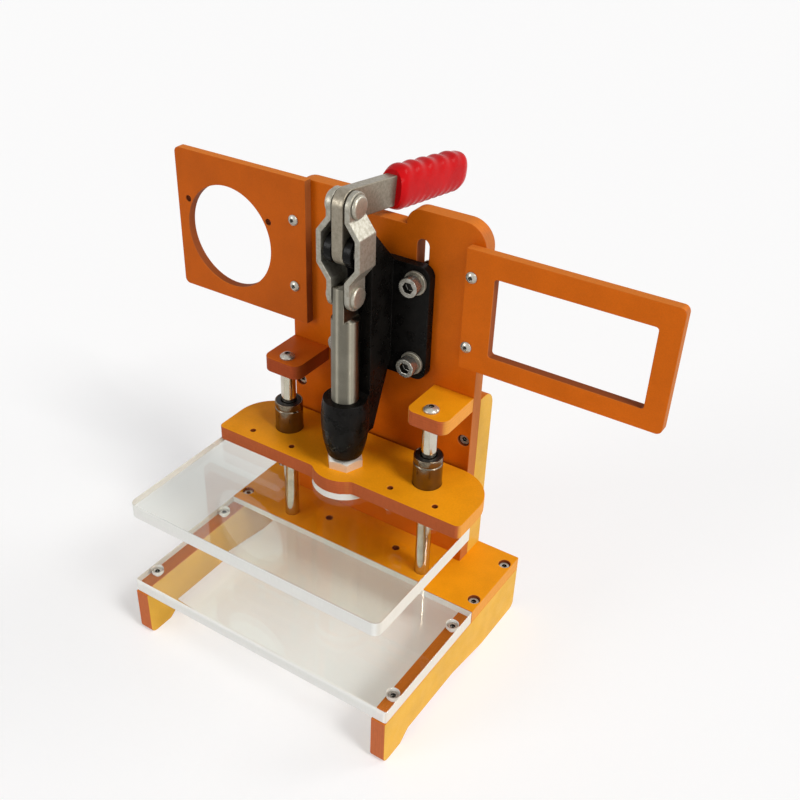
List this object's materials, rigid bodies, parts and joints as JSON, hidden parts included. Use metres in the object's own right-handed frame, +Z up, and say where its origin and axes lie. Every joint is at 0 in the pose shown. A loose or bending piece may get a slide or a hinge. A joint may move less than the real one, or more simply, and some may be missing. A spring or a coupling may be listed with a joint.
{
  "type": "pcb test fixture",
  "caption": "Bench fixture that presses a circuit board onto a clear bed: laminate frame, clear pusher plate on guide rods and a toggle clamp with a swinging handle.",
  "frame": {"origin": "centre of the bed plate's top face, where the board under test lies; the floor is 36 mm below", "axes": "+X to the operator's right, +Y to the back plate, +Z up out of the bed"},
  "size_m": [0.276, 0.1867, 0.2467],
  "materials": {
    "laminate": "orange phenolic laminate with darker cut edges",
    "acrylic": "clear acrylic sheet with sawn edges",
    "chrome": "hardened and ground",
    "bearing_steel": "ground",
    "casting": "black paint on a casting",
    "zinc": "zinc plated",
    "screw_steel": "plated screws",
    "vinyl": "dipped red vinyl",
    "seal": "black seal rings"
  },
  "bodies": {
    "frame": {"side_plate_left": "laminate", "side_plate_right": "laminate", "bed_plate": "acrylic", "base_plate": "laminate", "back_plate": "laminate", "rib_left": "laminate", "rib_right": "laminate", "panel_left": "laminate", "panel_right": "laminate", "bracket_left": "laminate", "bracket_right": "laminate", "rod_left": "chrome", "rod_right": "chrome", "clamp_body": "casting", "pivot_pin": "zinc", "clamp_bolts": "screw_steel", "clamp_washers": "zinc", "clamp_back_washers": "zinc", "clamp_nuts": "zinc", "bed_screws": "screw_steel", "base_screws": "screw_steel", "back_plate_screws": "screw_steel", "rib_screws": "screw_steel", "panel_screws": "screw_steel", "bracket_screws": "screw_steel", "rod_screws": "screw_steel", "rod_foot_screws": "screw_steel"},
    "handle": {"handle_lever": "zinc", "handle_grip": "vinyl", "handle_rivet": "zinc"},
    "links": {"link_left": "zinc", "link_right": "zinc", "link_rivet_left": "zinc", "link_rivet_right": "zinc"},
    "press": {"plunger": "zinc", "plunger_pin": "zinc", "press_bolt": "zinc", "press_nut": "zinc", "press_plate": "laminate", "pusher_plate": "acrylic", "pusher_screws": "screw_steel", "bushing_left": "bearing_steel", "bushing_right": "bearing_steel", "bushing_seals": "seal"}
  },
  "joints": [
    {"name": "handle_swing", "type": "hinge", "parent": "frame", "child": "handle", "pos_m": [0, 0.0403, 0.182], "axis": [1, 0, 0], "range_deg": [0, 180]},
    {"name": "press_slide", "type": "slide", "parent": "frame", "child": "press", "axis": [0, 0, -1], "range_m": [0, 0.043]},
    {"name": "link_swing", "type": "hinge", "parent": "handle", "child": "links", "pos_m": [0, 0.0403, 0.2035], "axis": [1, 0, 0], "range_deg": [-180, 0]}
  ],
  "couplings": [
    {"joint": "press_slide", "follows": "handle_swing", "m_per_rad": 0.013687},
    {"joint": "link_swing", "follows": "handle_swing", "ratio": -1}
  ]
}
